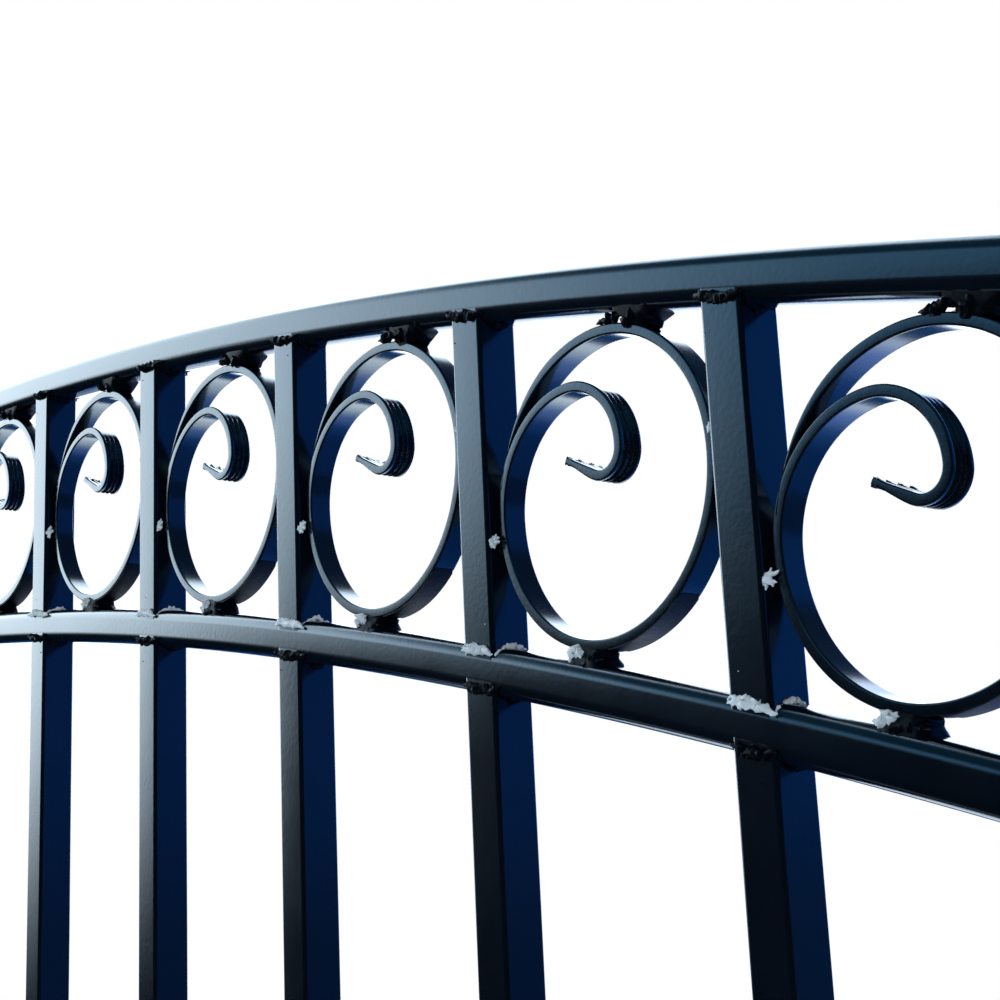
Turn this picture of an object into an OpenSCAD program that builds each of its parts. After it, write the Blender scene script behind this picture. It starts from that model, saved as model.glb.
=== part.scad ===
// Arched tubular-steel garden gate leaf with a row of scroll rings, its hinges, slide bolt and keep.
// +Z up, X along the closed gate, Y through it. Origin: middle of the lower hinge plate's back face.

/* [Leaf] */
// Distance between picket centres
pitch = 122; // [110:1:140]
// Number of bays between the stiles
bays = 10; // [8:1:10]
// Height of the arch's crown, at the hinge stile, above the foot of the leaf
leaf_h = 1500; // [1200:10:1800]
// Radius of the top rail's upper face
arch_r = 3820; // [3000:10:6000]
// Clear height of the band between the two arched rails
band_h = 109.5; // [106:0.5:130]

/* [Rails] */
// Height of an arched rail's tube
rail_h = 16; // [14:1:25]
// Depth of a rail's tube, front to back
rail_d = 16; // [16:1:25]
// Height of the straight bottom rail
bottom_rail_h = 25; // [16:1:40]
// Gap under the bottom rail, up from the foot of the leaf
bottom_rail_up = 60; // [30:5:120]
// Wall of the rail tubes
rail_wall = 1.5; // [1.2:0.1:2]
// Outer corner radius of the rail tubes
rail_corner = 5; // [2:0.5:5]

/* [Pickets] */
// Side of the square picket tube
picket_w = 16; // [14:1:18]
// Wall of the picket tube
picket_wall = 1.2; // [1:0.1:1.5]
// Outer corner radius of the picket tube
picket_corner = 1.5; // [1.2:0.1:2]

/* [Stiles] */
// Side of the square stile tube
stile_w = 30; // [30:1:40]
// Wall of the stile tube
stile_wall = 2; // [1.5:0.1:3]
// Outer corner radius of the stile tube
stile_corner = 3; // [2.5:0.1:4]
// Height of the stile above the top rail where they meet
stile_rise = 16; // [8:1:40]

/* [Scroll rings] */
// Outer diameter of a ring
ring_d = 102.5; // [100:0.5:104]
// Thickness of the flat bar
bar_t = 3.5; // [3:0.5:4]
// Depth of the flat bar, front to back
bar_w = 9; // [8:1:12]
// Straight tail at the end of the curl
tail_l = 15; // [8:0.5:18]
// Width of a spacer between a ring and a rail
spacer_w = 10; // [8:1:14]
// Depth of a spacer
spacer_d = 12; // [10:1:16]

/* [Hinges] */
// Distance from the post's face to the swing axis
axis_x = 40; // [36:1:60]
// Distance from the swing axis to the stile
axis_to_stile = 32; // [30:1:45]
// Height of the lower hinge above the foot of the leaf
lower_hinge_up = 200; // [150:10:300]
// Height between the two hinges
hinge_span = 900; // [700:10:950]
// Diameter of the hinge pin
pin_d = 12; // [12:1:16]
// Outer diameter of the eye
eye_d = 26; // [24:1:30]
// Height of the eye
eye_h = 24; // [20:1:30]

/* [Slide bolt] */
// Height of the bolt above the lower hinge
bolt_z = 760; // [600:10:800]
// Diameter of the sliding rod
rod_d = 12; // [10:1:14]
// Travel of the rod
throw = 40; // [30:1:45]
// Gap between the closed leaf and the post
post_gap = 20; // [18:1:30]

/* [Hidden] */
PICKETS = bays - 1;
function two_digits(n) = n < 10 ? str("0", n) : str(n);

paint = [0.07, 0.10, 0.13];
zinc = [0.62, 0.64, 0.66];
plastic = [0.05, 0.05, 0.06];

// Leaf layout
bay_clear = pitch - picket_w;
stile_x = axis_x + axis_to_stile;
inner_x = stile_x + stile_w;
inner_w = bays * pitch - picket_w;
latch_x = inner_x + inner_w;
leaf_end_x = latch_x + stile_w;
crown_x = stile_x;
foot_z = -lower_hinge_up;
crown_z = foot_z + leaf_h;
arch_cz = crown_z - arch_r;
top_under_r = arch_r - rail_h;
ring_rail_r = top_under_r - band_h;
ring_rail_under_r = ring_rail_r - rail_h;
bottom_rail_z = foot_z + bottom_rail_up;
picket_foot_z = bottom_rail_z + bottom_rail_h;
function arch_z(x, r) = arch_cz + sqrt(r * r - (x - crown_x) * (x - crown_x));
function picket_x(k) = inner_x + bay_clear + picket_w / 2 + (k - 1) * pitch;
function bay_x(j) = inner_x + bay_clear / 2 + (j - 1) * pitch;
function bay_z(j) = (arch_z(bay_x(j), top_under_r) + arch_z(bay_x(j), ring_rail_r)) / 2;
hinge_stile_top_z = arch_z(inner_x, arch_r) + stile_rise;
latch_stile_top_z = arch_z(latch_x, arch_r) + stile_rise;
arch_half_angle = asin((inner_w + 2 * stile_w) / ring_rail_under_r);
arch_fn = 1440;
over = 1;

// Scroll path: outer radii of its arcs, and the angles where one arc hands over to the next
ring_r = ring_d / 2;
lead_offset = 2.5;
lead_sweep = 55;
lead_bays = 4;
second_r = 37;
curl_r = 25.8;
groove_start = 48;
eye_r = 9.8;
eye_end = -117;
groove_count = 3;
groove_depth = 0.9;
groove_w = 1.5;
tail_slim = 0.1;
scroll_fn = 120;
seat_play = 0.005;

// Hinge details
play = 0.3;
eye_bore_r = pin_d / 2 + 0.05;
washer_t = 2;
arm_t = 14;
arm_w = 24;
plate_t = 6;
plate_w = 50;
plate_h = 120;
plate_hole_r = 4.5;
plate_row_y = 30;
plate_row_z = 90;
shank_r = 6;
nut_af = 19;
nut_h = 10;
steel_washer_t = 2.5;
steel_washer_r = 12;
thread_out = 8;
shank_end_x = inner_x + steel_washer_t + nut_h + thread_out;

// Slide bolt details
bolt_plate_t = 4;
bolt_plate_h = 50;
bolt_plate_x = picket_x(PICKETS) - 12;
stile_front_y = -stile_w / 2;
bolt_plate_y = stile_front_y - bolt_plate_t;
rod_y = bolt_plate_y - 11;
rod_r = rod_d / 2;
rod_tip_x = leaf_end_x + 6;
guide_l = 12;
guide_x = [bolt_plate_x + 6, latch_x - 18, leaf_end_x - guide_l];
guide_r = 10.5;
guide_play = 0.08;
rod_tail_x = guide_x[0] - throw - 5;
sleeve_x = guide_x[0] + guide_l + 8;
sleeve_l = 18;
sleeve_r = 9.5;
collar_l = 4;
collar_r = 9;
arm_r = 4;
arm_drop = 52;
knob_r = 11;
screw_r = 3;
screw_row_z = 17;
screw_x = [picket_x(PICKETS), latch_x + stile_w / 2];
screw_head_r = 5.5;
screw_head_h = 3;
picket_front_y = -picket_w / 2;

// Keep details
keep_t = 6;
post_x = leaf_end_x + post_gap;
keep_x = post_x - keep_t;
keep_hole = 18;
keep_top = 45;
keep_drop = 105;
keep_y = [-50, 22];
keep_row_z = 70;
stop_z = bolt_z - 80;
stop_h = 30;
buffer_t = 2.9;
stop_play = 0.4;

// Points of a rectangle with rounded corners, low corner at the origin
function rounded_points(w, h, r, steps = 5) = [
    for (c = [[w - r, h - r, 0], [r, h - r, 90], [r, r, 180], [w - r, r, 270]])
        for (i = [0 : steps])
            [c[0] + r * cos(c[2] + 90 * i / steps), c[1] + r * sin(c[2] + 90 * i / steps)]
];

module tube_profile(w, h, r, wall) {
    difference() {
        polygon(rounded_points(w, h, r));
        translate([wall, wall])
            polygon(rounded_points(w - 2 * wall, h - 2 * wall, max(r - wall, 0.4)));
    }
}

// Cylinder along +X, starting at x
module rod_along_x(x, y, z, r, l, fn = 48) {
    translate([x, y, z]) rotate([0, 90, 0]) cylinder(r = r, h = l, $fn = fn);
}

// Cylinder along -Y, starting at y
module rod_along_y(x, y, z, r, l, fn = 48) {
    translate([x, y, z]) rotate([90, 0, 0]) cylinder(r = r, h = l, $fn = fn);
}

// Sweeps a profile of radius and depth along the arch
module along_arch() {
    translate([crown_x, 0, arch_cz]) rotate([90, 0, 0]) rotate([0, 0, 90 - arch_half_angle])
        rotate_extrude(angle = 2 * arch_half_angle, $fn = arch_fn) children();
}

// Solid band of the arch between two radii, deeper than any tube
module arch_band(r0, r1) {
    along_arch() translate([r0, -rail_d]) square([r1 - r0, 2 * rail_d]);
}

module square_stile(x, top_z) {
    translate([x, -stile_w / 2, foot_z])
        linear_extrude(top_z - foot_z) tube_profile(stile_w, stile_w, stile_corner, stile_wall);
}

module hinge_stile() {
    color(paint) difference() {
        square_stile(stile_x, hinge_stile_top_z);
        for (z = [0, hinge_span]) rod_along_x(stile_x - over, 0, z, shank_r, stile_w + 2 * over);
    }
}

module latch_stile() {
    color(paint) difference() {
        square_stile(latch_x, latch_stile_top_z);
        for (s = [-1, 1])
            rod_along_y(screw_x[1], stile_front_y + stile_wall + over, bolt_z + s * screw_row_z, screw_r, 6);
    }
}

// Tube bent to the arch, cut square where it meets the stiles
module arched_tube(r) {
    intersection() {
        along_arch() translate([r - rail_h, -rail_d / 2])
            tube_profile(rail_h, rail_d, rail_corner, rail_wall);
        translate([inner_x, -rail_d, foot_z]) cube([inner_w, 2 * rail_d, leaf_h + over]);
    }
}

module top_rail() {
    color(paint) arched_tube(arch_r);
}

module ring_rail() {
    color(paint) arched_tube(ring_rail_r);
}

module bottom_rail() {
    color(paint) translate([inner_x, 0, 0]) rotate([90, 0, 90]) linear_extrude(inner_w)
        translate([-rail_d / 2, bottom_rail_z]) tube_profile(rail_d, bottom_rail_h, rail_corner, rail_wall);
}

module picket_tube(x, z0, z1) {
    translate([x - picket_w / 2, -picket_w / 2, z0])
        linear_extrude(z1 - z0) tube_profile(picket_w, picket_w, picket_corner, picket_wall);
}

// Short pickets through the band, cut to the two arched rails
module upper_pickets() {
    color(paint) for (k = [1 : PICKETS]) intersection() {
        picket_tube(picket_x(k), arch_z(latch_x, ring_rail_under_r), crown_z);
        arch_band(ring_rail_r, top_under_r);
    }
}

// Long picket from the bottom rail up to the ring rail
module picket(k) {
    color(paint) difference() {
        picket_tube(picket_x(k), picket_foot_z, arch_z(picket_x(k), ring_rail_under_r) + 4 * over);
        arch_band(ring_rail_under_r, ring_rail_r);
        if (k == PICKETS) for (s = [-1, 1])
            rod_along_y(screw_x[0], picket_front_y + 2 * over, bolt_z + s * screw_row_z, screw_r, 6);
    }
}

// Section of the flat bar with its outer face at radius r, drawn down on every side by slim
module bar_profile(r, slim = 0) {
    translate([r - bar_t + slim, -bar_w / 2 + slim]) square([bar_t - 2 * slim, bar_w - 2 * slim]);
}

// Grooves in the bar's outer face, which leave ribs between them
module groove_profile(r, slim = 0) {
    step = bar_w / (groove_count + 1);
    top = groove_w / 2 + slim;
    floor = groove_w / 5 + slim;
    deep = groove_depth + slim;
    for (i = [1 : groove_count]) translate([r, -bar_w / 2 + i * step])
        polygon([[0.5, -top], [0.5, top], [-deep, floor], [-deep, -floor]]);
}

// One arc of the scroll about c, from angle a through a sweep that is negative when clockwise
module scroll_arc(c, a, sweep) {
    translate([c[0], c[1], 0]) rotate([0, 0, a]) rotate_extrude(angle = sweep, $fn = scroll_fn) children();
}

// Straight ribbed end that carries on clockwise from angle a about c; drawn down, it laps the arc before it
module scroll_tail(c, a, r) {
    lap = 0.6;
    translate([c[0], c[1], 0]) rotate([0, 0, a]) translate([0, lap, 0]) rotate([90, 0, 0])
        linear_extrude(tail_l + lap) difference() {
            bar_profile(r, tail_slim);
            groove_profile(r, tail_slim);
        }
}

// Flat bar rolled into a ring whose inner end turns in as a ribbed curl
module scroll(j) {
    lead_c = [0, -lead_offset];
    second_c = [second_r - ring_r, 0];
    curl_c = [second_c[0], second_r - curl_r];
    eye_c = [curl_c[0] + curl_r - eye_r, curl_c[1]];
    color(paint) translate([bay_x(j), 0, bay_z(j)]) rotate([90, 0, 0]) difference() {
        union() {
            scroll_arc(lead_c, 90, lead_sweep) bar_profile(ring_r + lead_offset);
            scroll_arc([0, 0], 90, -270) bar_profile(ring_r);
            scroll_arc(second_c, 180, -90) bar_profile(second_r);
            scroll_arc(curl_c, 90, -90) bar_profile(curl_r);
            scroll_arc(eye_c, 0, eye_end) bar_profile(eye_r);
            scroll_tail(eye_c, eye_end, eye_r);
        }
        scroll_arc(curl_c, 0, groove_start) groove_profile(curl_r);
        scroll_arc(eye_c, 0, eye_end) groove_profile(eye_r);
    }
}

// Block between a ring and a rail, on the arch's normal through the ring's centre.
// Its seat is the ring's own circle, or one that much larger and lower where the ring's lead starts.
module spacer(j, low_r, high_r, seat_offset) {
    dx = bay_x(j) - crown_x;
    centre_r = sqrt(dx * dx + (bay_z(j) - arch_cz) * (bay_z(j) - arch_cz));
    seat_r = ring_r + seat_offset;
    difference() {
        translate([crown_x, 0, arch_cz]) rotate([0, asin(dx / centre_r), 0])
            translate([-spacer_w / 2, -spacer_d / 2, low_r]) cube([spacer_w, spacer_d, high_r - low_r]);
        rod_along_y(bay_x(j), spacer_d, bay_z(j) - seat_offset, seat_r, 2 * spacer_d, scroll_fn);
    }
}

module lower_spacers() {
    color(paint) for (j = [1 : bays]) spacer(j, ring_rail_r, ring_rail_r + band_h / 4, 0);
}

module upper_spacers() {
    color(paint) for (j = [1 : bays])
        spacer(j, top_under_r - band_h / 4, top_under_r - seat_play, j > lead_bays ? 0 : lead_offset);
}

// Plastic cap with a low pyramid, pressed into a stile's top
module stile_cap(x, top_z) {
    plug_w = stile_w - 2 * stile_wall - 0.4;
    flange_w = stile_w + 2;
    color(plastic) translate([x + stile_w / 2, 0, top_z]) {
        translate([-plug_w / 2, -plug_w / 2, -12])
            linear_extrude(12) polygon(rounded_points(plug_w, plug_w, 1.2));
        translate([-flange_w / 2, -flange_w / 2, 0])
            linear_extrude(4) polygon(rounded_points(flange_w, flange_w, 2));
        translate([0, 0, 4]) rotate([0, 0, 45])
            cylinder(r1 = flange_w / 2 * sqrt(2) - 2, r2 = 5, h = 7, $fn = 4);
    }
}

module hinge_stile_cap() {
    stile_cap(stile_x, hinge_stile_top_z);
}

module latch_stile_cap() {
    stile_cap(latch_x, latch_stile_top_z);
}

// Plastic plugs in the open lower ends of both stiles
module foot_plugs() {
    plug_w = stile_w - 2 * stile_wall - 0.4;
    color(plastic) for (x = [stile_x, latch_x]) translate([x + stile_w / 2, 0, foot_z]) {
        translate([-plug_w / 2, -plug_w / 2, 0])
            linear_extrude(12) polygon(rounded_points(plug_w, plug_w, 1.2));
        translate([-stile_w / 2, -stile_w / 2, -3])
            linear_extrude(3) polygon(rounded_points(stile_w, stile_w, 3));
    }
}

// Eye that turns on the hinge pin, with a threaded shank through the stile
module eye_bolt(z) {
    color(zinc) translate([axis_x, 0, z]) difference() {
        union() {
            translate([0, 0, -eye_h / 2]) cylinder(r = eye_d / 2, h = eye_h, $fn = 64);
            rod_along_x(0, 0, 0, shank_r, shank_end_x - axis_x);
        }
        translate([0, 0, -eye_h / 2 - over]) cylinder(r = eye_bore_r, h = eye_h + 2 * over, $fn = 64);
    }
}

module lower_eye_bolt() {
    eye_bolt(0);
}

module upper_eye_bolt() {
    eye_bolt(hinge_span);
}

// Two nuts to each eye bolt, clamping the stile between them
module eye_bolt_nuts() {
    nut_r = nut_af / 2 / cos(30);
    color(zinc) for (z = [0, hinge_span], x = [stile_x - steel_washer_t - nut_h, inner_x + steel_washer_t])
        difference() {
            rod_along_x(x, 0, z, nut_r, nut_h, 6);
            rod_along_x(x - over, 0, z, shank_r, nut_h + 2 * over);
        }
}

module eye_bolt_washers() {
    color(zinc) for (z = [0, hinge_span], x = [stile_x - steel_washer_t, inner_x]) difference() {
        rod_along_x(x, 0, z, steel_washer_r, steel_washer_t);
        rod_along_x(x - over, 0, z, shank_r, steel_washer_t + 2 * over);
    }
}

// Post plate with an arm that holds the pin; up = 1 puts the pin above the arm, -1 below it
module hinge_plate(z, up) {
    arm_far = -eye_h / 2 - washer_t - 2 * play;
    color(paint) translate([0, 0, z]) scale([1, 1, up]) difference() {
        union() {
            translate([0, -plate_w / 2, -plate_h / 2]) cube([plate_t, plate_w, plate_h]);
            translate([plate_t - 0.5, -arm_w / 2, arm_far - arm_t])
                cube([axis_x - plate_t + 0.5, arm_w, arm_t]);
            translate([axis_x, 0, arm_far - arm_t]) cylinder(r = arm_w / 2, h = arm_t, $fn = 64);
        }
        translate([axis_x, 0, arm_far - arm_t - over])
            cylinder(r = pin_d / 2, h = arm_t + 2 * over, $fn = 64);
        for (y = [-1, 1], h = [-1, 1])
            rod_along_x(-over, y * plate_row_y / 2, h * plate_row_z / 2, plate_hole_r, plate_t + 2 * over);
    }
}

module lower_hinge_plate() {
    hinge_plate(0, 1);
}

module upper_hinge_plate() {
    hinge_plate(hinge_span, -1);
}

// Hinge pin with a turned nose
module hinge_pin(z, up) {
    pin_low = -eye_h / 2 - washer_t - 2 * play - arm_t;
    pin_high = eye_h / 2 + 8;
    nose = 2.5;
    color(zinc) translate([axis_x, 0, z]) scale([1, 1, up]) rotate_extrude($fn = 64)
        polygon([
            [0, pin_low], [pin_d / 2, pin_low], [pin_d / 2, pin_high - nose],
            [pin_d / 2 - nose, pin_high], [0, pin_high]
        ]);
}

module lower_hinge_pin() {
    hinge_pin(0, 1);
}

module upper_hinge_pin() {
    hinge_pin(hinge_span, -1);
}

// Washer between the lower arm and its eye, which carries the leaf
module thrust_washer() {
    color(plastic) translate([axis_x, 0, -eye_h / 2 - play - washer_t]) difference() {
        cylinder(r = eye_d / 2, h = washer_t, $fn = 64);
        translate([0, 0, -over]) cylinder(r = pin_d / 2, h = washer_t + 2 * over, $fn = 64);
    }
}

module bolt_plate() {
    color(paint) difference() {
        translate([bolt_plate_x, bolt_plate_y, bolt_z - bolt_plate_h / 2]) rotate([90, 0, 0])
            translate([0, 0, -bolt_plate_t]) linear_extrude(bolt_plate_t)
                polygon(rounded_points(leaf_end_x - bolt_plate_x, bolt_plate_h, 5));
        for (x = screw_x, s = [-1, 1])
            rod_along_y(x, stile_front_y + over, bolt_z + s * screw_row_z, screw_r, bolt_plate_t + 2 * over);
    }
}

// Packer that brings the last picket's face out to the stile's face
module plate_packer() {
    depth = picket_front_y - stile_front_y;
    color(paint) difference() {
        translate([screw_x[0] - picket_w / 2, stile_front_y, bolt_z - bolt_plate_h / 2])
            cube([picket_w, depth, bolt_plate_h]);
        for (s = [-1, 1])
            rod_along_y(screw_x[0], stile_front_y + depth + over, bolt_z + s * screw_row_z, screw_r, 10);
    }
}

// Lugs welded to the plate that the rod slides through
module bolt_guides() {
    color(paint) for (x = guide_x) difference() {
        union() {
            rod_along_x(x, rod_y, bolt_z, guide_r, guide_l);
            translate([x, rod_y, bolt_z - guide_r]) cube([guide_l, bolt_plate_y - rod_y, 2 * guide_r]);
        }
        rod_along_x(x - over, rod_y, bolt_z, rod_r + guide_play, guide_l + 2 * over);
    }
}

// Round-headed screws through the plate into the stile and the last picket
module plate_screws() {
    color(zinc) for (s = [-1, 1], i = [0, 1]) {
        into_y = i == 0 ? picket_front_y + picket_wall : stile_front_y + stile_wall;
        end = bolt_plate_y - into_y;
        translate([screw_x[i], bolt_plate_y, bolt_z + s * screw_row_z])
            rotate([90, 0, 0]) rotate_extrude($fn = 48) polygon(concat(
                [[0, end], [screw_r, end], [screw_r, 0], [screw_head_r, 0]],
                [for (a = [0 : 15 : 75]) [screw_head_r * cos(a), 0.8 + (screw_head_h - 0.8) * sin(a)]],
                [[0, screw_head_h]]
            ));
    }
}

// Rod, drawn back at rest
module bolt_rod() {
    nose = 2.5;
    color(zinc) translate([rod_tail_x, rod_y, bolt_z]) rotate([0, 90, 0]) rotate_extrude($fn = 64)
        polygon([
            [0, 0], [rod_r - 1, 0], [rod_r, 1], [rod_r, rod_tip_x - rod_tail_x - nose],
            [rod_r - nose, rod_tip_x - rod_tail_x], [0, rod_tip_x - rod_tail_x]
        ]);
}

// Collars that keep the handle's sleeve in place along the rod
module rod_collars() {
    color(zinc) for (x = [sleeve_x - collar_l - play, sleeve_x + sleeve_l + play]) difference() {
        rod_along_x(x, rod_y, bolt_z, collar_r, collar_l);
        rod_along_x(x - over, rod_y, bolt_z, rod_r, collar_l + 2 * over);
    }
}

// Sleeve that turns on the rod, with an arm that hangs down
module bolt_handle() {
    color(paint) difference() {
        union() {
            rod_along_x(sleeve_x, rod_y, bolt_z, sleeve_r, sleeve_l);
            translate([sleeve_x + sleeve_l / 2, rod_y, bolt_z - arm_drop])
                cylinder(r = arm_r, h = arm_drop, $fn = 48);
        }
        rod_along_x(sleeve_x - over, rod_y, bolt_z, rod_r + guide_play, sleeve_l + 2 * over);
    }
}

module handle_knob() {
    color(plastic) translate([sleeve_x + sleeve_l / 2, rod_y, bolt_z - arm_drop]) difference() {
        sphere(r = knob_r, $fn = 64);
        cylinder(r = arm_r, h = knob_r + over, $fn = 48);
    }
}

// Plate on the latch post that takes the rod's end
module keep_plate() {
    color(paint) difference() {
        translate([keep_x, keep_y[0], bolt_z - keep_drop])
            cube([keep_t, keep_y[1] - keep_y[0], keep_drop + keep_top]);
        translate([keep_x - over, rod_y - keep_hole / 2, bolt_z - keep_hole / 2])
            cube([keep_t + 2 * over, keep_hole, keep_hole]);
        for (s = [-1, 1])
            rod_along_x(keep_x - over, 0, bolt_z + s * keep_row_z / 2, plate_hole_r, keep_t + 2 * over);
    }
}

// Lug on the keep that stops the closing leaf
module stop_lug() {
    lug_y = stile_front_y - stop_play - buffer_t;
    color(paint) translate([latch_x + 14, lug_y - 6, stop_z - stop_h / 2])
        cube([keep_x - latch_x - 14, 6, stop_h]);
}

module stop_buffer() {
    color(plastic) translate([latch_x + 15, stile_front_y - stop_play - buffer_t, stop_z - stop_h / 2 + 2])
        cube([14, buffer_t, stop_h - 4]);
}

hinge_stile();
latch_stile();
top_rail();
ring_rail();
bottom_rail();
upper_pickets();
for (k = [1 : PICKETS]) picket(k);
for (j = [1 : bays]) scroll(j);
lower_spacers();
upper_spacers();
hinge_stile_cap();
latch_stile_cap();
foot_plugs();
lower_eye_bolt();
upper_eye_bolt();
eye_bolt_nuts();
eye_bolt_washers();
bolt_plate();
plate_packer();
bolt_guides();
plate_screws();
bolt_rod();
rod_collars();
bolt_handle();
handle_knob();
lower_hinge_plate();
upper_hinge_plate();
lower_hinge_pin();
upper_hinge_pin();
thrust_washer();
keep_plate();
stop_lug();
stop_buffer();
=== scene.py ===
import math
import random

import bmesh
import bpy
import numpy as np
from mathutils import Matrix, Vector, noise


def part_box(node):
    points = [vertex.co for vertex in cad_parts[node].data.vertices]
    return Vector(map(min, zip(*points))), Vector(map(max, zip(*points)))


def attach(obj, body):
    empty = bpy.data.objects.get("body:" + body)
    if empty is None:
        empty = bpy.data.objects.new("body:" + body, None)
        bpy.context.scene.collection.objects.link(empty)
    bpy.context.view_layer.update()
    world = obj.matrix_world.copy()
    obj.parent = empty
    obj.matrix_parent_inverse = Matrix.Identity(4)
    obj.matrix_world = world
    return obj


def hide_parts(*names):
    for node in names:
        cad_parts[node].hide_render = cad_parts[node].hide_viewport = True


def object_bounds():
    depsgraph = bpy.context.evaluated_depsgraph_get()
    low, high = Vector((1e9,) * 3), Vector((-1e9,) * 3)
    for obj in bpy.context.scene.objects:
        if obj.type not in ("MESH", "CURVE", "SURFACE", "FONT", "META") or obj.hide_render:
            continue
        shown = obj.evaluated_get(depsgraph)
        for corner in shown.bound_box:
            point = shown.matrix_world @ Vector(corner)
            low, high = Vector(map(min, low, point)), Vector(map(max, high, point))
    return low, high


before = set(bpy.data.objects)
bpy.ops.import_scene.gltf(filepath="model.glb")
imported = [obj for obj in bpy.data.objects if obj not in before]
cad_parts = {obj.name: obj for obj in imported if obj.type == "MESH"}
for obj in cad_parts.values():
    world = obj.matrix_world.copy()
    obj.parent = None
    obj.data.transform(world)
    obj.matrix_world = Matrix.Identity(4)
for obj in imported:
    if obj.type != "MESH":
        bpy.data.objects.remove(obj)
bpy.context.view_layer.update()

MM = 0.001

# ---------------------------------------------------------------- design sizes, in metres, as in part.scad
ARCH_R = 3.820
RAIL_H = 0.016
RAIL_CORNER = 0.005
PICKET_CORNER = 0.0015
STILE_CORNER = 0.003
BAND_H = 0.1095
BAR_T = 0.0035
BAR_W = 0.009
LEAD_OFFSET = 0.0020
LEAD_SWEEP = 77
SECOND_R = 0.0370
CURL_R = 0.0258
RIB_START = 48
EYE_R = 0.0098
EYE_END = -117
TAIL_L = 0.0150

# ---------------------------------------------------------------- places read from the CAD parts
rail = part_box("top_rail")
INNER_X, LATCH_X = rail[0].x, rail[1].x
CROWN_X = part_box("hinge_stile")[0].x
ARCH_CZ = rail[1].z - math.sqrt(ARCH_R ** 2 - (INNER_X - CROWN_X) ** 2)
TOP_UNDER_R = ARCH_R - RAIL_H
RING_RAIL_R = TOP_UNDER_R - BAND_H
RING_UNDER_R = RING_RAIL_R - RAIL_H
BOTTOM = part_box("bottom_rail")
PICKETS = sorted(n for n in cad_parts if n.startswith("picket_"))
SCROLLS = sorted(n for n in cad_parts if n.startswith("scroll_"))
HALF_W = (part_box(PICKETS[0])[1].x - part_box(PICKETS[0])[0].x) / 2
HALF_D = (rail[1].y - rail[0].y) / 2


def mid(node, axis=0):
    lo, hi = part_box(node)
    return (lo[axis] + hi[axis]) / 2


def arch_z(x, r):
    return ARCH_CZ + math.sqrt(r * r - (x - CROWN_X) ** 2)


def shoulder(y, half, corner):
    """How far a rounded tube's flat top has dropped at depth y."""
    into = max(0.0, min(abs(y) - (half - corner), corner * 0.999))
    return corner - math.sqrt(corner * corner - into * into)


# ---------------------------------------------------------------- mesh helpers
def even_normals(obj):
    """Keeps broad faces flat, so that only their rounded edges bend the light."""
    normals = obj.modifiers.new("even_normals", "WEIGHTED_NORMAL")
    normals.keep_sharp = True


def add_mesh(name, verts, faces, material, body, replaces=(), sharp=40):
    mesh = bpy.data.meshes.new(name)
    mesh.from_pydata([tuple(v) for v in verts], [], [tuple(f) for f in faces])
    mesh.validate()
    bm = bmesh.new()
    bm.from_mesh(mesh)
    bmesh.ops.recalc_face_normals(bm, faces=bm.faces)
    bm.to_mesh(mesh)
    bm.free()
    mesh.polygons.foreach_set("use_smooth", [True] * len(mesh.polygons))
    mesh.set_sharp_from_angle(angle=math.radians(sharp))
    mesh.materials.append(material)
    obj = bpy.data.objects.new(name, mesh)
    bpy.context.scene.collection.objects.link(obj)
    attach(obj, body)
    if replaces:
        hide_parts(*replaces)
        even_normals(obj)
    return obj


class Parts:
    """Vertices and faces of several closed shells that make one piece."""

    def __init__(self):
        self.verts, self.faces = [], []

    def loft(self, rings, pairs=False):
        """Skins closed sections, one row of points each, and caps both ends.
        With pairs, the second half of a section runs back along the first, and caps join them in quads."""
        n, m = len(rings), len(rings[0])
        base = len(self.verts)
        for ring in rings:
            self.verts.extend(ring)
        for i in range(n - 1):
            a, b = base + i * m, base + (i + 1) * m
            for j in range(m):
                k = (j + 1) % m
                self.faces.append((a + j, a + k, b + k, b + j))
        for i in (0, n - 1):
            a = base + i * m
            if pairs:
                h = m // 2
                for j in range(h - 1):
                    self.faces.append((a + j, a + j + 1, a + m - 2 - j, a + m - 1 - j))
            else:
                self.faces.append(tuple(range(a, a + m)))

    def add(self, name, material, body, slot, replaces=(), sharp=40):
        return add_mesh(name, self.verts, self.faces, material, body, replaces, sharp)


def rounded_rect(half_a, half_b, corner, steps=6):
    """Points of a rounded rectangle about the origin."""
    points = []
    for ca, cb, start in ((1, 1, 0), (-1, 1, 90), (-1, -1, 180), (1, -1, 270)):
        for i in range(steps + 1):
            t = math.radians(start + 90 * i / steps)
            points.append((ca * (half_a - corner) + corner * math.cos(t), cb * (half_b - corner) + corner * math.sin(t)))
    return points


# ---------------------------------------------------------------- materials
def material(name, slot_values):
    mat = bpy.data.materials.new(name)
    mat.use_nodes = True
    tree = mat.node_tree
    shader = tree.nodes["Principled BSDF"]
    for socket, value in slot_values.items():
        shader.inputs[socket].default_value = value
    return mat, tree, shader


def node(tree, kind, inputs=None, **settings):
    made = tree.nodes.new(kind)
    for key, value in settings.items():
        setattr(made, key, value)
    for key, value in (inputs or {}).items():
        made.inputs[key].default_value = value
    return made


def noise_node(tree, scale, detail=4.0, rough=0.55, coords=None):
    made = node(tree, "ShaderNodeTexNoise", {"Scale": scale, "Detail": detail, "Roughness": rough})
    tree.links.new(coords, made.inputs["Vector"])
    return made


def ramp(tree, source, stops):
    made = tree.nodes.new("ShaderNodeValToRGB")
    elements = made.color_ramp.elements
    while len(elements) > 1:
        elements.remove(elements[-1])
    elements[0].position, elements[0].color = stops[0][0], stops[0][1]
    for place, colour in stops[1:]:
        elements.new(place).color = colour
    tree.links.new(source, made.inputs["Fac"])
    return made


def grey(v):
    return (v, v, v, 1.0)


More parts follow.
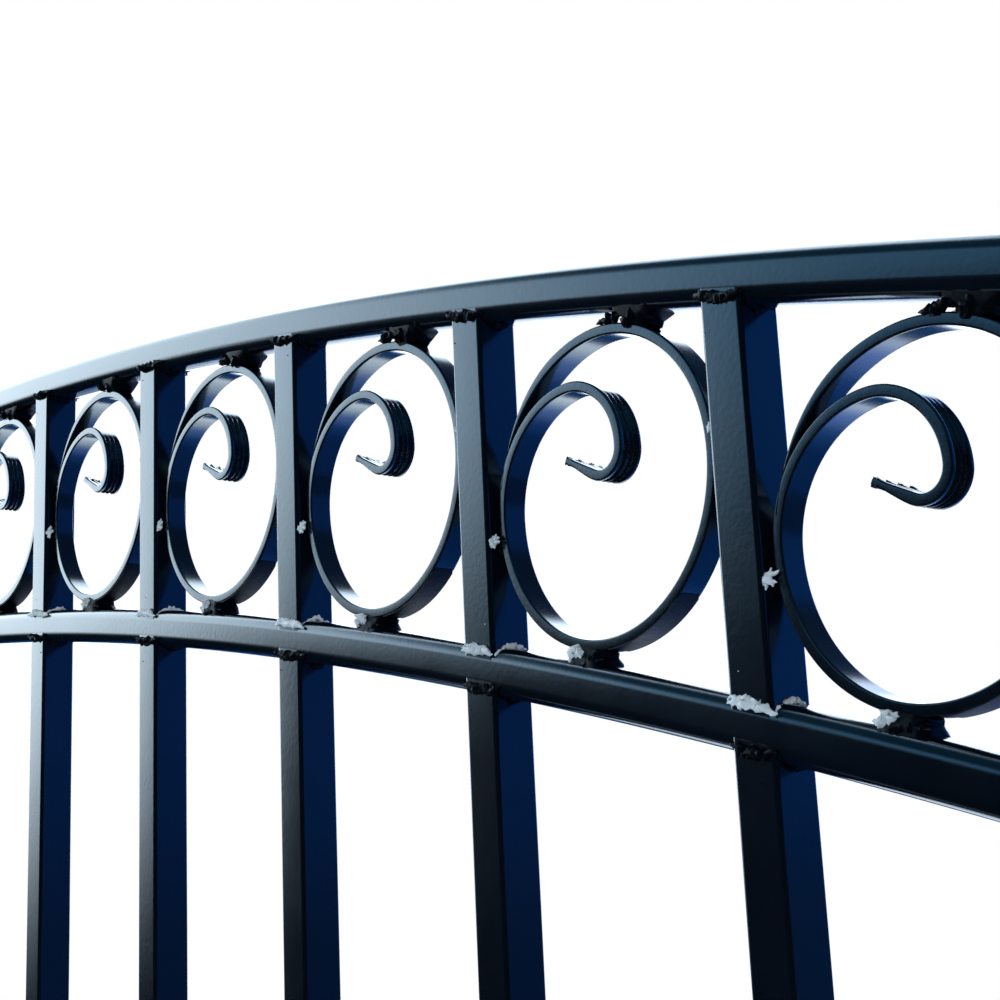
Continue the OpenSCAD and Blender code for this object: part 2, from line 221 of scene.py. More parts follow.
def mix(tree, factor, a, b):
    made = node(tree, "ShaderNodeMix", data_type="RGBA")
    for socket, value in ((made.inputs[0], factor), (made.inputs[6], a), (made.inputs[7], b)):
        if isinstance(value, bpy.types.NodeSocket):
            tree.links.new(value, socket)
        else:
            socket.default_value = value
    return made.outputs[2]


def combine(tree, operation, a, b, c=0.0):
    made = node(tree, "ShaderNodeMath", operation=operation)
    made.inputs[2].default_value = c
    for socket, value in ((made.inputs[0], a), (made.inputs[1], b)):
        if isinstance(value, bpy.types.NodeSocket):
            tree.links.new(value, socket)
        else:
            socket.default_value = value
    return made.outputs[0]


def multiply(tree, a, b):
    return combine(tree, "MULTIPLY", a, b)


def subtract(tree, a, b):
    return combine(tree, "SUBTRACT", a, b)


def edge_mask(tree, radius):
    """1 along sharp edges and corners, 0 on flats: the bevelled normal against the true one."""
    bevel = node(tree, "ShaderNodeBevel", {"Radius": radius}, samples=4)
    true = tree.nodes.new("ShaderNodeNewGeometry")
    dot = node(tree, "ShaderNodeVectorMath", operation="DOT_PRODUCT")
    tree.links.new(bevel.outputs["Normal"], dot.inputs[0])
    tree.links.new(true.outputs["Normal"], dot.inputs[1])
    return ramp(tree, dot.outputs["Value"], [(0.80, grey(1)), (0.985, grey(0))]).outputs["Color"]


def painted(name, base, dust_and_sheen, rough, tint, spec, peel_scale, peel, wear_and_sheen, worn_and_sheen_colour=(0.16, 0.19, 0.22, 1)):
    """Satin coat: colour drift, faint dust, roughness patches, orange peel and rubbed edges; with pale colours, as on
    the welds, the speckle and rubbed-edge colour are painted highlights instead.
    """
    mat, tree, shader = material(name, {"Specular IOR Level": spec, "Specular Tint": tint, "IOR": 1.5})
    coords = tree.nodes.new("ShaderNodeTexCoord").outputs["Object"]
    links = tree.links
    drift = noise_node(tree, 9, 3, 0.5, coords).outputs["Fac"]
    fine = noise_node(tree, 420, 5, 0.65, coords).outputs["Fac"]
    colour = mix(tree, ramp(tree, drift, [(0.35, grey(0)), (0.7, grey(1))]).outputs["Color"], base, tuple(c * 1.5 for c in base[:3]) + (1,))
    # Pale speckle: faint dust on the satin coat; on the welds, a painted highlight.
    colour = mix(tree, ramp(tree, fine, [(0.60, grey(0)), (0.80, grey(dust_and_sheen[3]))]).outputs["Color"], colour, tuple(dust_and_sheen[:3]) + (1,))
    # Lighter rubbed edges: paint wear on the satin coat; on the welds, a painted highlight along the ridges.
    wear_and_sheen_mask = multiply(tree, edge_mask(tree, 0.0008), ramp(tree, noise_node(tree, 160, 6, 0.7, coords).outputs["Fac"], [(0.48, grey(0)), (0.62, grey(wear_and_sheen))]).outputs["Color"])
    colour = mix(tree, wear_and_sheen_mask, colour, worn_and_sheen_colour)
    links.new(colour, shader.inputs["Base Color"])
    patches = noise_node(tree, 34, 4, 0.6, coords).outputs["Fac"]
    spread = ramp(tree, patches, [(0.3, grey(rough * 0.88)), (0.7, grey(rough * 1.14))]).outputs["Color"]
    links.new(mix(tree, wear_and_sheen_mask, spread, grey(min(1.0, rough * 1.5))), shader.inputs["Roughness"])
    peel_bump = node(tree, "ShaderNodeBump", {"Strength": peel, "Distance": 0.0003})
    links.new(noise_node(tree, peel_scale, 3, 0.5, coords).outputs["Fac"], peel_bump.inputs["Height"])
    links.new(peel_bump.outputs["Normal"], shader.inputs["Normal"])
    return mat


PAINT = painted("satin_paint", (0.0010, 0.0022, 0.0048, 1), (0.020, 0.030, 0.040, 0.05), 0.155,
                (0.50, 0.78, 1.0, 1), 0.62, 520, 0.08, 0.35, (0.09, 0.11, 0.13, 1))
# Painted shade: a darker, duller black of the same paint, for the weld blocks, the beads under the rails and at the
# stiles, and the strips on the rings' outer faces, where shade falls.
SHADE_BLACK = painted("painted_shade_black", (0.0005, 0.0011, 0.0026, 1), (0.014, 0.026, 0.048, 0.30), 0.50,
               (0.50, 0.78, 1.0, 1), 0.10, 700, 0.35, 0.3, (0.05, 0.07, 0.10, 1))
# Painted highlight: the welds wear the same black paint, but this pale grey-blue base, speckle and edge colour paint
# the light their lumps catch from above.
WELD_HIGHLIGHT_PAINT = painted("weld_painted_highlight", (0.36, 0.43, 0.47, 1), (0.66, 0.72, 0.76, 0.8), 0.42,
                     (0.7, 0.88, 1.0, 1), 0.6, 900, 0.7, 0.6, (0.60, 0.66, 0.70, 1))


def plated(name):
    mat, tree, shader = material(name, {"Metallic": 1.0})
    coords = tree.nodes.new("ShaderNodeTexCoord").outputs["Object"]
    links = tree.links
    clouds = noise_node(tree, 60, 5, 0.6, coords).outputs["Fac"]
    links.new(ramp(tree, clouds, [(0.3, (0.47, 0.49, 0.51, 1)), (0.7, (0.66, 0.67, 0.68, 1))]).outputs["Color"], shader.inputs["Base Color"])
    links.new(ramp(tree, noise_node(tree, 200, 5, 0.7, coords).outputs["Fac"], [(0.3, grey(0.26)), (0.7, grey(0.46))]).outputs["Color"], shader.inputs["Roughness"])
    bump = node(tree, "ShaderNodeBump", {"Strength": 0.18, "Distance": 0.0002})
    links.new(noise_node(tree, 1400, 3, 0.6, coords).outputs["Fac"], bump.inputs["Height"])
    links.new(bump.outputs["Normal"], shader.inputs["Normal"])
    return mat


ZINC = plated("zinc_plate")
PLASTIC = painted("moulded_plastic", (0.012, 0.013, 0.015, 1), (0.09, 0.09, 0.09, 0.10), 0.50,
                  (1, 1, 1, 1), 0.5, 1100, 0.22, 0.25, (0.06, 0.06, 0.065, 1))
RUBBER = painted("stop_rubber", (0.018, 0.018, 0.019, 1), (0.12, 0.12, 0.11, 0.16), 0.82,
                 (1, 1, 1, 1), 0.35, 700, 0.5, 0.2, (0.07, 0.07, 0.07, 1))
BY_SLOT = {"black_paint": PAINT, "zinc": ZINC, "black_plastic": PLASTIC, "stop_rubber": RUBBER}

# ---------------------------------------------------------------- rails, stiles and pickets
def arched_rail(cad_node, r_out):
    start = math.asin((INNER_X - 0.004 - CROWN_X) / r_out)
    end = math.asin((LATCH_X + 0.004 - CROWN_X) / r_out)
    section = rounded_rect(RAIL_H / 2, HALF_D, RAIL_CORNER)
    rings = []
    for i in range(161):
        a = start + (end - start) * i / 160
        rings.append([(CROWN_X + (r_out - RAIL_H / 2 + u) * math.sin(a), v, ARCH_CZ + (r_out - RAIL_H / 2 + u) * math.cos(a))
                      for u, v in section])
    parts = Parts()
    parts.loft(rings)
    parts.add(cad_node + "_tube", PAINT, "leaf", "black_paint", (cad_node,))


def upright(parts, x, y, half_x, half_y, corner, low, high, steps=4):
    """Square tube from low(x, y) up to high(x, y)."""
    section = rounded_rect(half_x, half_y, corner, steps)
    parts.loft([[(x + u, y + v, f(x + u, y + v)) for u, v in section] for f in (low, high)])




# An upright runs into a rail far enough to meet its rounded shoulder, as a weld fills it.
SINK = RAIL_CORNER * 0.9

arched_rail("top_rail", ARCH_R)
arched_rail("ring_rail", RING_RAIL_R)

bottom = Parts()
section = rounded_rect(HALF_D, (BOTTOM[1].z - BOTTOM[0].z) / 2, RAIL_CORNER)
bottom.loft([[(x, u, (BOTTOM[0].z + BOTTOM[1].z) / 2 + v) for u, v in section] for x in (INNER_X - 0.001, LATCH_X + 0.001)])
bottom.add("bottom_rail_tube", PAINT, "leaf", "black_paint", ("bottom_rail",))

for name in PICKETS:
    tube = Parts()
    upright(tube, mid(name), 0, HALF_W, HALF_W, PICKET_CORNER,
            lambda x, y: BOTTOM[1].z - SINK, lambda x, y: arch_z(x, RING_UNDER_R) + SINK)
    tube.add(name + "_tube", PAINT, "leaf", "black_paint", (name,))

short = Parts()
for name in PICKETS:
    upright(short, mid(name), 0, HALF_W, HALF_W, PICKET_CORNER,
            lambda x, y: arch_z(x, RING_RAIL_R) - SINK, lambda x, y: arch_z(x, TOP_UNDER_R) + SINK)
short.add("upper_picket_tubes", PAINT, "leaf", "black_paint", ("upper_pickets",))

for name in ("hinge_stile", "latch_stile"):
    lo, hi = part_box(name)
    tube = Parts()
    half = (hi.x - lo.x) / 2
    upright(tube, lo.x + half, 0, half, half, STILE_CORNER, lambda x, y: lo.z, lambda x, y: hi.z, 6)
    tube.add(name + "_tube", PAINT, "leaf", "black_paint", (name,))


# ---------------------------------------------------------------- scroll rings
def scroll_path(ring_r, step):
    """Points, outward normals and how far along the ribbed part each is, from the lead's tip to the curl's."""
    second = (SECOND_R - ring_r, 0.0)
    curl = (second[0], SECOND_R - CURL_R)
    eye = (curl[0] + CURL_R - EYE_R, curl[1])
    arcs = [((0.0, -LEAD_OFFSET), ring_r + LEAD_OFFSET, 90 + LEAD_SWEEP, 90), ((0.0, 0.0), ring_r, 90, -180),
            (second, SECOND_R, 180, 90), (curl, CURL_R, 90, 0), (eye, EYE_R, 0, EYE_END)]
    out, along, ribbed = [], 0.0, None
    for i, (c, r, a0, a1) in enumerate(arcs):
        n = max(4, round(abs(math.radians(a1 - a0)) * r / (step * (1.0 if r > 0.03 else 0.55))))
        for k in range(n if i < len(arcs) - 1 else n + 1):
            deg = a0 + (a1 - a0) * k / n
            a = math.radians(deg)
            s = along + math.radians(abs(deg - a0)) * r
            if c == curl and r == CURL_R and deg <= RIB_START and ribbed is None:
                ribbed = s
            out.append((c[0] + r * math.cos(a), c[1] + r * math.sin(a), math.cos(a), math.sin(a), s))
        along += math.radians(abs(a1 - a0)) * r
    x, z, nx, nz, s0 = out[-1]
    for k in range(1, 13):
        d = TAIL_L * k / 12
        out.append((x + nz * d, z - nx * d, nx, nz, s0 + d))
    return out, ribbed, s0


def smooth(t):
    t = np.clip(t, 0.0, 1.0)
    return t * t * (3 - 2 * t)


RIB_PITCH = BAR_W / 4
RIB_DEPTH = 0.0009
EDGE_ROUND = 0.0006


def scroll_ring(name, seed):
    """Flat bar with rounded edges, a thinned lead, a ribbed curl and a ragged stepped tip."""
    lo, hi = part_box(name)
    cx, cz = (lo.x + hi.x) / 2, (lo.z + hi.z) / 2
    path, ribbed, tail_from = scroll_path((hi.x - lo.x) / 2, 0.0026)
    px, pz, nx, nz, ps = np.array(path).T
    rng = np.random.default_rng(seed)
    turn = np.radians([0, 30, 60])
    edge = -BAR_W / 2 + EDGE_ROUND * (1 - np.cos(turn))
    drop = EDGE_ROUND * (1 - np.sin(turn))
    flat = np.linspace(-BAR_W / 2 + EDGE_ROUND, BAR_W / 2 - EDGE_ROUND, 26)
    v = np.concatenate([edge, flat, -edge[::-1]])
    drop = np.concatenate([drop, np.zeros(26), drop[::-1]])
    groove = np.where(np.abs(v) < 1.5 * RIB_PITCH, 0.5 + 0.5 * np.cos(2 * np.pi * v / RIB_PITCH), 0.0)
    rib = np.clip(np.floor((v + BAR_W / 2) / RIB_PITCH), 0, 3).astype(int)
    short_by = np.array([0.0, 0.0026, 0.0050, 0.0072]) + rng.uniform(-0.0007, 0.0007, 4)
    fray = short_by[rib] + rng.uniform(0, 0.0005, len(v))
    bend = tail_from - 0.004
    total = ps[-1]
    rings = []
    for s in ps:
        keep = 1 - fray / (total - bend) * (1.0 if s > bend else 0.0)
        at = bend + (s - bend) * keep if s > bend else np.full(len(v), s)
        x, z = np.interp(at, ps, px), np.interp(at, ps, pz)
        ax, az = np.interp(at, ps, nx), np.interp(at, ps, nz)
        lead = 0.22 + 0.78 * float(smooth(s / 0.052))
        depth = RIB_DEPTH * float(smooth((s - ribbed) / 0.006))
        near_tip = float(smooth((s - (total - 0.005)) / 0.005))
        ragged = rng.uniform(-1, 1, len(v)) * 0.0003 * near_tip
        thinned = (1 - lead) + 0.45 * float(smooth((s - tail_from) / TAIL_L))
        outer = -thinned * BAR_T - drop - groove * depth + ragged + 0.0004 * near_tip
        on_tail = float(smooth((s - tail_from) / 0.005))
        inner = -BAR_T + drop + groove * RIB_DEPTH * 0.45 * on_tail - ragged - 0.0003 * near_tip
        row = [(cx + a + b * u, w, cz + c + d * u) for a, b, c, d, u, w in zip(x, ax, z, az, outer, v)]
        back = [(cx + a + b * u, w, cz + c + d * u) for a, b, c, d, u, w in zip(x, ax, z, az, inner, v)]
        rings.append(row + back[::-1])
    parts = Parts()
    parts.loft(rings, pairs=True)
    parts.add(name + "_bar", PAINT, "leaf", "black_paint", (name,), 50)


for count, name in enumerate(SCROLLS):
    scroll_ring(name, 400 + count)

RING_R = (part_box(SCROLLS[0])[1].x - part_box(SCROLLS[0])[0].x) / 2


# ---------------------------------------------------------------- welds
def bead(parts, points, radius, rng, blunt=0.35, rough=0.30, sides=9):
    """A ragged run of weld along a line, rippled and drawn out at both ends."""
    points = [Vector(p) for p in points]
    lengths = [0.0]
    for a, b in zip(points, points[1:]):
        lengths.append(lengths[-1] + (b - a).length)
    count = max(6, round(lengths[-1] / (radius * 0.42)))
    shift = Vector((rng.uniform(0, 90), rng.uniform(0, 90), rng.uniform(0, 90)))
    rings = []
    for i in range(count + 1):
        s = lengths[-1] * i / count
        k = max(j for j in range(len(points) - 1) if lengths[j] <= s + 1e-9)
        f = (s - lengths[k]) / max(lengths[k + 1] - lengths[k], 1e-9)
        p = points[k].lerp(points[k + 1], f)
        tangent = (points[k + 1] - points[k]).normalized()
        side = tangent.cross(Vector((0.31, 0.87, 0.38))).normalized()
        other = tangent.cross(side)
        swell = max(0.06, math.sin(math.pi * i / count)) ** blunt
        wander = noise.noise_vector(p * 420 + shift) * radius * 0.45
        ripple = 1 + 0.10 * math.sin(2 * math.pi * s / (radius * 1.1))
        ring = []
        for j in range(sides):
            a = 2 * math.pi * j / sides
            out = (side * math.cos(a) + other * math.sin(a)) * radius * swell * ripple
            lump = 1 + rough * noise.noise((p + out) * 700 + shift) * 1.8 + rough * 0.6 * rng.uniform(-1, 1)
            ring.append(tuple(p + wander + out * lump))
        rings.append(ring)
    parts.loft(rings)


def drop(parts, p, radius, rng):
    """A droplet of spatter."""
    rings = []
    for i in range(5):
        t = math.pi * (0.06 + 0.88 * i / 4)
        rings.append([(p[0] + radius * math.sin(t) * math.cos(a) * rng.uniform(0.85, 1.15),
                       p[1] + radius * math.cos(t),
                       p[2] + radius * math.sin(t) * math.sin(a) * rng.uniform(0.85, 1.15))
                      for a in (2 * math.pi * k / 7 for k in range(7))])
    parts.loft(rings)


def collar(parts, x, half, face_z, side, rng, wings, radius):
    """Weld round an upright where it meets a rail; side is 1 on a rail's top and -1 under it."""
    def at(dx, dy, lift=0.0):
        fall = shoulder(min(abs(dy), HALF_D - 0.0004), HALF_D, RAIL_CORNER)
        return (x + dx, dy, face_z(x + dx) - side * fall + side * lift)

    out = half + 0.0006
    for face in (-1, 1):
        reach = half + (wings if face < 0 else wings * 0.5)
        y = face * (out - 0.0002)
        left, right = rng.uniform(0.7, 1.2) * reach, rng.uniform(0.7, 1.2) * reach
        bead(parts, [at(-left, y, 0.0002), at(-half * 0.6, y, 0.0012), at(half * 0.6, y, 0.0012), at(right, y, 0.0002)],
             radius, rng, 0.55, 0.42)
        bead(parts, [at(-half * 0.8, y, 0.0022), at(half * 0.5, y, 0.0020)], radius * 0.6, rng, 0.6, 0.55)
    for face in (-1, 1):
        dx = face * (out + 0.0002)
        bead(parts, [at(dx, -half * 0.95, 0.0008), at(dx, 0, 0.0008), at(dx, half * 0.95, 0.0008)], radius * 0.85, rng, 0.5, 0.42)
    dx = rng.uniform(-1, 1) * half * 0.9
    drop(parts, (x + dx, -half - 0.0001, face_z(x + dx) + side * rng.uniform(0.004, 0.009)), rng.uniform(0.00015, 0.00030), rng)


rng = random.Random(71)
# Welds on rail tops go into bright, with the pale painted-highlight paint; welds under the rails go into dark, with the
# painted-shade black.
bright, dark = Parts(), Parts()
for name in PICKETS:
    x = mid(name)
    collar(bright, x, HALF_W, lambda u: arch_z(u, RING_RAIL_R), 1, rng, 0.0035, 0.0015)
    collar(dark, x, HALF_W, lambda u: arch_z(u, TOP_UNDER_R), -1, rng, 0.0045, 0.0017)
    collar(dark, x, HALF_W, lambda u: arch_z(u, RING_UNDER_R), -1, rng, 0.0035, 0.0016)
    collar(bright, x, HALF_W, lambda u: BOTTOM[1].z, 1, rng, 0.0025, 0.0015)


def tee(parts, x, low, high, half, rng, radius=0.0019):
    """Weld round a rail's end on a stile's face."""
    y = half + 0.0003
    bead(parts, [(x, -y, low + 0.002), (x, -y, high - 0.002)], radius, rng, 0.4, 0.3)
    bead(parts, [(x, y, low + 0.002), (x, y, high - 0.002)], radius, rng, 0.4, 0.3)
    bead(parts, [(x, -half * 0.7, high + 0.0003), (x, half * 0.7, high + 0.0003)], radius, rng, 0.4, 0.3)
    bead(parts, [(x, -half * 0.7, low - 0.0003), (x, half * 0.7, low - 0.0003)], radius, rng, 0.4, 0.3)


# Rail-end welds at the stiles go into dark, with the painted-shade black of the corners.
for x in (INNER_X + 0.0004, LATCH_X - 0.0004):
    for r in (ARCH_R, RING_RAIL_R):
        tee(dark, x, arch_z(x, r) - RAIL_H, arch_z(x, r), HALF_D, rng)
    tee(dark, x, BOTTOM[0].z, BOTTOM[1].z, HALF_D, rng)


# ---------------------------------------------------------------- blocks between the rings and the rails
def lean_of(x, z):
    """Unit vector along the arch's normal at a point."""
    return Vector((x - CROWN_X, 0, z - ARCH_CZ)).normalized()


def block(parts, centre, normal, levels, rng):
    """Filled weld block: levels are (height along the normal, half width, half depth)."""
    across = Vector((normal.z, 0, -normal.x))
    section = rounded_rect(1, 1, 0.55, 5)
    shift = Vector((rng.uniform(0, 60), 3, 5))
    rings = []
    for height, half_w, half_d in levels:
        ring = []
        for u, v in section:
            p = centre + normal * height + across * (u * half_w) + Vector((0, v * half_d, 0))
            ring.append(tuple(p + noise.noise_vector(p * 520 + shift) * 0.0009))
        rings.append(ring)
    parts.loft(rings)


def shade_strip(parts, cx, cz):
    """Thin black strip on a ring's outer face, from its foot up one side: painted shade where the rail and picket
    beside it keep the sky off that face.
    """
    rings = []
    for i in range(21):
        a = math.radians(-90 + 2 * i)
        half = (BAR_W / 2 - 0.0002) * (1 if i < 20 else 0.8)
        rings.append([(cx + r * math.cos(a), y, cz + r * math.sin(a))
                      for r, y in ((RING_R - 0.0004, -half), (RING_R - 0.0004, half), (RING_R + 0.0002, half), (RING_R + 0.0002, -half))])
    parts.loft(rings)


BLOCK_SHIFT, HEAD_SHIFT = 0.0035, 0.0078
lower_blocks, upper_blocks = Parts(), Parts()
for name in SCROLLS:
    cx, cz = mid(name), mid(name, 2)
    centre = Vector((cx, 0, cz))
    n = lean_of(cx, cz)
    from_arch = math.hypot(cx - CROWN_X, cz - ARCH_CZ)
    down = RING_RAIL_R - from_arch
    up = TOP_UNDER_R - from_arch
    along = Vector((n.z, 0, -n.x))
    below, above = centre + along * BLOCK_SHIFT, centre + along * HEAD_SHIFT
    block(lower_blocks, below, n, [(down - 0.0016, 0.0090, 0.0062), (down + 0.0006, 0.0074, 0.0060), (down + 0.0024, 0.0056, 0.0056),
                                   (-RING_R + 0.0004, 0.0062, 0.0050), (-RING_R + 0.0016, 0.0040, 0.0040)], rng)
    block(upper_blocks, above, n, [(up + 0.0016, 0.0118, 0.0064), (up - 0.0005, 0.0092, 0.0062), (up - 0.0022, 0.0058, 0.0056),
                                   (RING_R - 0.0006, 0.0054, 0.0050), (RING_R - 0.0018, 0.0036, 0.0040)], rng)
    foot = below + n * down
    # Tacks at the block feet and the star tacks go into bright, the painted highlight; beads along the feet, the heads
    # and behind the tacks go into dark, the painted shade.
    for dx, dz, size in ((-0.0060, 0.0026, 0.0015), (-0.0042, 0.0040, 0.0018), (-0.0022, 0.0028, 0.0013)):
        p = foot + Vector((dx, -0.0052, dz))
        bead(bright, [p + Vector((-0.0012, 0.0006, -0.0014)), p, p + Vector((0.0010, 0.0004, 0.0020))], size, rng, 0.5, 0.6, 11)
    bead(dark, [foot + Vector((-0.0095, -0.0046, 0.0)), foot + Vector((0.0085, -0.0048, -0.0004))], 0.0014, rng, 0.6, 0.5)
    head = above + n * up
    for reach in (-1, 1):
        bead(dark, [head + Vector((0.004 * reach, -0.0050, 0.0002)), head + Vector((0.0175 * reach, -0.0040, 0.0008))], 0.0017, rng, 0.8, 0.5)
        bead(dark, [head + Vector((0.004 * reach, 0.0050, 0.0002)), head + Vector((0.0155 * reach, 0.0040, 0.0008))], 0.0016, rng, 0.8, 0.5)
    bead(dark, [above + n * (RING_R - 0.0006) + Vector((-0.003, -0.0050, 0)), head + Vector((0.001, -0.0054, 0.0004))], 0.0017, rng, 0.5, 0.5)
    # painted shade on the ring's outer face beside its foot
    shade_strip(dark, cx, cz)
    # tacks between the ring and the pickets or stiles beside it
    gap = (mid(SCROLLS[1]) - mid(SCROLLS[0])) / 2 - HALF_W
    for reach, rise, size in ((-1, -0.0080, 1.0), (1, 0.0060, 0.45)):
        middle = Vector((cx + reach * (RING_R + gap) / 2, -0.0062, cz + rise))
        for spin in (20, 65, 115, 160):
            a = math.radians(spin + rng.uniform(-12, 12))
            arm = Vector((math.cos(a), 0.1, math.sin(a))) * 0.0034 * size * rng.uniform(0.7, 1.2)
            bead(bright, [middle - arm, middle, middle + arm], 0.0009 * (0.5 + 0.5 * size), rng, 0.7, 0.6, 11)
        bead(dark, [middle + Vector((0, 0.0015, -0.003)), middle + Vector((0, 0.0115, -0.001))], 0.0019, rng, 0.5, 0.4)

# The weld blocks take the painted-shade black: their faces sit in shade between the rings and rails.
lower_blocks.add("lower_weld_blocks", SHADE_BLACK, "leaf", "black_paint", ("lower_spacers",))
upper_blocks.add("upper_weld_blocks", SHADE_BLACK, "leaf", "black_paint", ("upper_spacers",))

# ---------------------------------------------------------------- hardware with rounded edges
def soften(cad_node, width, body, slot, spin_sharp=38):
    """Copies a CAD node with its sharp edges rounded off."""
    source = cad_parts[cad_node]
    bm = bmesh.new()
    bm.from_mesh(source.data)
    bmesh.ops.remove_doubles(bm, verts=bm.verts, dist=2e-6)
    bmesh.ops.dissolve_limit(bm, angle_limit=math.radians(0.6), verts=bm.verts, edges=bm.edges)
    sharp = [e for e in bm.edges if len(e.link_faces) == 2 and e.calc_face_angle(0) > math.radians(32)]
    bmesh.ops.bevel(bm, geom=sharp, offset=width, offset_type="OFFSET", segments=2, profile=0.5,
                    affect="EDGES", clamp_overlap=True)
    bmesh.ops.recalc_face_normals(bm, faces=bm.faces)
    mesh = bpy.data.meshes.new(cad_node + "_edged")
    bm.to_mesh(mesh)
    bm.free()
    mesh.polygons.foreach_set("use_smooth", [True] * len(mesh.polygons))
    mesh.set_sharp_from_angle(angle=math.radians(spin_sharp))
    mesh.materials.append(BY_SLOT[slot])
    obj = bpy.data.objects.new(cad_node + "_edged", mesh)
    bpy.context.scene.collection.objects.link(obj)
    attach(obj, body)
    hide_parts(cad_node)
    even_normals(obj)
    return obj


SOFTENED = {
    "hinge_stile_cap": (0.6, "leaf", "black_plastic"), "latch_stile_cap": (0.6, "leaf", "black_plastic"),
    "foot_plugs": (0.5, "leaf", "black_plastic"), "bolt_plate": (0.5, "leaf", "black_paint"),
    "plate_packer": (0.4, "leaf", "black_paint"), "bolt_guides": (0.5, "leaf", "black_paint"),
    "eye_bolt_nuts": (0.5, "leaf", "zinc"), "eye_bolt_washers": (0.3, "leaf", "zinc"),
    "rod_collars": (0.3, "bolt", "zinc"), "lower_hinge_plate": (0.7, "posts", "black_paint"),
    "upper_hinge_plate": (0.7, "posts", "black_paint"), "keep_plate": (0.7, "posts", "black_paint"),
    "stop_lug": (0.7, "posts", "black_paint"), "stop_buffer": (0.5, "posts", "stop_rubber"),
    "lower_eye_bolt": (0.6, "leaf", "zinc"), "upper_eye_bolt": (0.6, "leaf", "zinc"),
    "bolt_handle": (0.5, "handle", "black_paint"),
}
for cad_node, (width, body, slot) in SOFTENED.items():
    soften(cad_node, width * MM, body, slot)

# Painted highlight on the upper welds and painted shade on the under welds, though both are the same weld metal under
# the same paint.
bright.add("upper_welds", WELD_HIGHLIGHT_PAINT, "leaf", "black_paint", (), 60)
dark.add("under_welds", SHADE_BLACK, "leaf", "black_paint", (), 60)

# ---------------------------------------------------------------- carried-over CAD nodes
SLOT_OF = {"bolt_rod": "zinc", "plate_screws": "zinc", "lower_hinge_pin": "zinc", "upper_hinge_pin": "zinc",
           "handle_knob": "black_plastic", "thrust_washer": "black_plastic"}
for name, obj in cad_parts.items():
    finish = BY_SLOT[SLOT_OF.get(name, "black_paint")]
    obj.data.materials.clear() if not obj.data.materials else None
    for i in range(len(obj.data.materials)):
        obj.data.materials[i] = finish

# ---------------------------------------------------------------- floor, light and camera
floor_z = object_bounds()[0].z
disc = bpy.data.meshes.new("studio_floor")
bm = bmesh.new()
bmesh.ops.create_circle(bm, cap_ends=True, segments=96, radius=6.0)
bm.to_mesh(disc)
bm.free()
floor = bpy.data.objects.new("studio_floor", disc)
floor.location = (CROWN_X, 0, floor_z - 0.0005)
bpy.context.scene.collection.objects.link(floor)
floor.visible_glossy = False
mat, tree, shader = material("pale_floor", {"Base Color": (0.86, 0.87, 0.88, 1), "Roughness": 0.9})
here = tree.nodes.new("ShaderNodeTexCoord").outputs["Object"]
far = node(tree, "ShaderNodeVectorMath", operation="LENGTH")
tree.links.new(here, far.inputs[0])
scaled = multiply(tree, far.outputs["Value"], 1 / 6.0)
tree.links.new(ramp(tree, scaled, [(0.35, grey(1)), (0.8, grey(0))]).outputs["Color"], shader.inputs["Alpha"])
disc.materials.append(mat)

world = bpy.data.worlds.new("studio")
bpy.context.scene.world = world
world.use_nodes = True
tree = world.node_tree
links = tree.links
back = tree.nodes["Background"]
direction = tree.nodes.new("ShaderNodeTexCoord").outputs["Generated"]
split = tree.nodes.new("ShaderNodeSeparateXYZ")
links.new(direction, split.inputs[0])


def band(source, low, high):
    """0 below low, 1 above high."""
    made = node(tree, "ShaderNodeMapRange", {"From Min": low, "From Max": high}, interpolation_type="SMOOTHSTEP", clamp=True)
    links.new(source, made.inputs["Value"])
    return made.outputs["Result"]


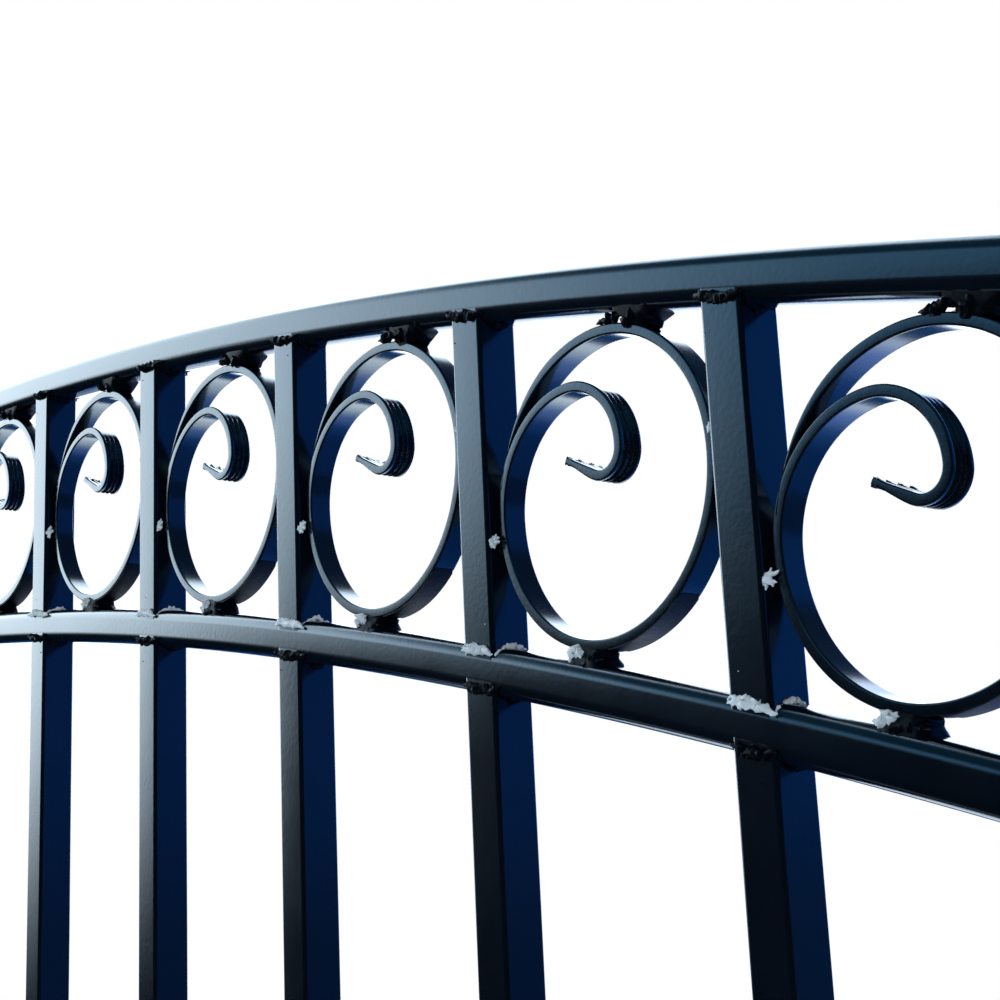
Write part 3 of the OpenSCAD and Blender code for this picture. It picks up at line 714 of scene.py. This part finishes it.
across, height = split.outputs["X"], split.outputs["Z"]
sky = mix(tree, band(across, -0.90, -0.58), (4.5, 5.1, 5.5, 1), (0.66, 1.30, 1.85, 1))
slope = combine(tree, "MULTIPLY_ADD", across, 0.35, c=0.294)
lift = combine(tree, "MULTIPLY_ADD", band(across, -0.90, -0.855), -0.10, c=0.10)
tilted = combine(tree, "ADD", subtract(tree, height, slope), lift)
front = mix(tree, band(tilted, 0.08, 0.30), (0.002, 0.01, 0.015, 1), sky)
far_left = mix(tree, band(across, -0.62, -0.34), (3.0, 3.4, 3.8, 1), (0.7, 1.2, 2.8, 1))
far_mid = mix(tree, band(across, -0.34, -0.04), far_left, (0.08, 0.40, 1.4, 1))
far_right = mix(tree, band(across, -0.04, 0.20), far_mid, (0.02, 0.22, 0.85, 1))
low_rise, low_fall = band(height, -0.42, -0.34), band(height, -0.02, 0.08)
skyline = multiply(tree, low_rise, subtract(tree, 1.0, low_fall))
behind = mix(tree, skyline, far_right, (0.01, 0.10, 0.34, 1))
dimmed = mix(tree, multiply(tree, band(height, 0.38, 0.62), band(across, -0.80, -0.60)), front, (0.03, 0.16, 0.26, 1))
around = mix(tree, band(split.outputs["Y"], -0.12, 0.12), dimmed, behind)
zenith = mix(tree, band(across, -0.42, -0.24), (4.6, 5.2, 6.0, 1), (0.03, 0.08, 0.18, 1))
over_the_top = multiply(tree, band(height, 0.45, 0.60), band(split.outputs["Y"], -0.25, 0.10))
overhead = mix(tree, over_the_top, around, zenith)
path = tree.nodes.new("ShaderNodeLightPath").outputs
soft = mix(tree, path["Is Diffuse Ray"], overhead, (0.86, 0.88, 0.91, 1))
links.new(mix(tree, path["Is Camera Ray"], soft, (1, 1, 1, 1)), back.inputs["Color"])

YAW, PITCH, ROLL = 0.908631, 0.228416, -0.045478
forward = Vector((-math.sin(YAW) * math.cos(PITCH), math.cos(YAW) * math.cos(PITCH), math.sin(PITCH)))
flat_right = Vector((math.cos(YAW), math.sin(YAW), 0))
flat_up = flat_right.cross(forward)
right = flat_right * math.cos(ROLL) + flat_up * math.sin(ROLL)
up = flat_up * math.cos(ROLL) - flat_right * math.sin(ROLL)
data = bpy.data.cameras.new("photo_camera")
data.sensor_width = 36.0
data.lens = 62.33
data.clip_start = 0.02
camera = bpy.data.objects.new("photo_camera", data)
camera.matrix_world = Matrix(((right.x, up.x, -forward.x, 1.40280), (right.y, up.y, -forward.y, -0.35036),
                              (right.z, up.z, -forward.z, 0.98549), (0, 0, 0, 1)))
bpy.context.scene.collection.objects.link(camera)
bpy.context.scene.camera = camera
bpy.context.scene.view_settings.view_transform = "Standard"
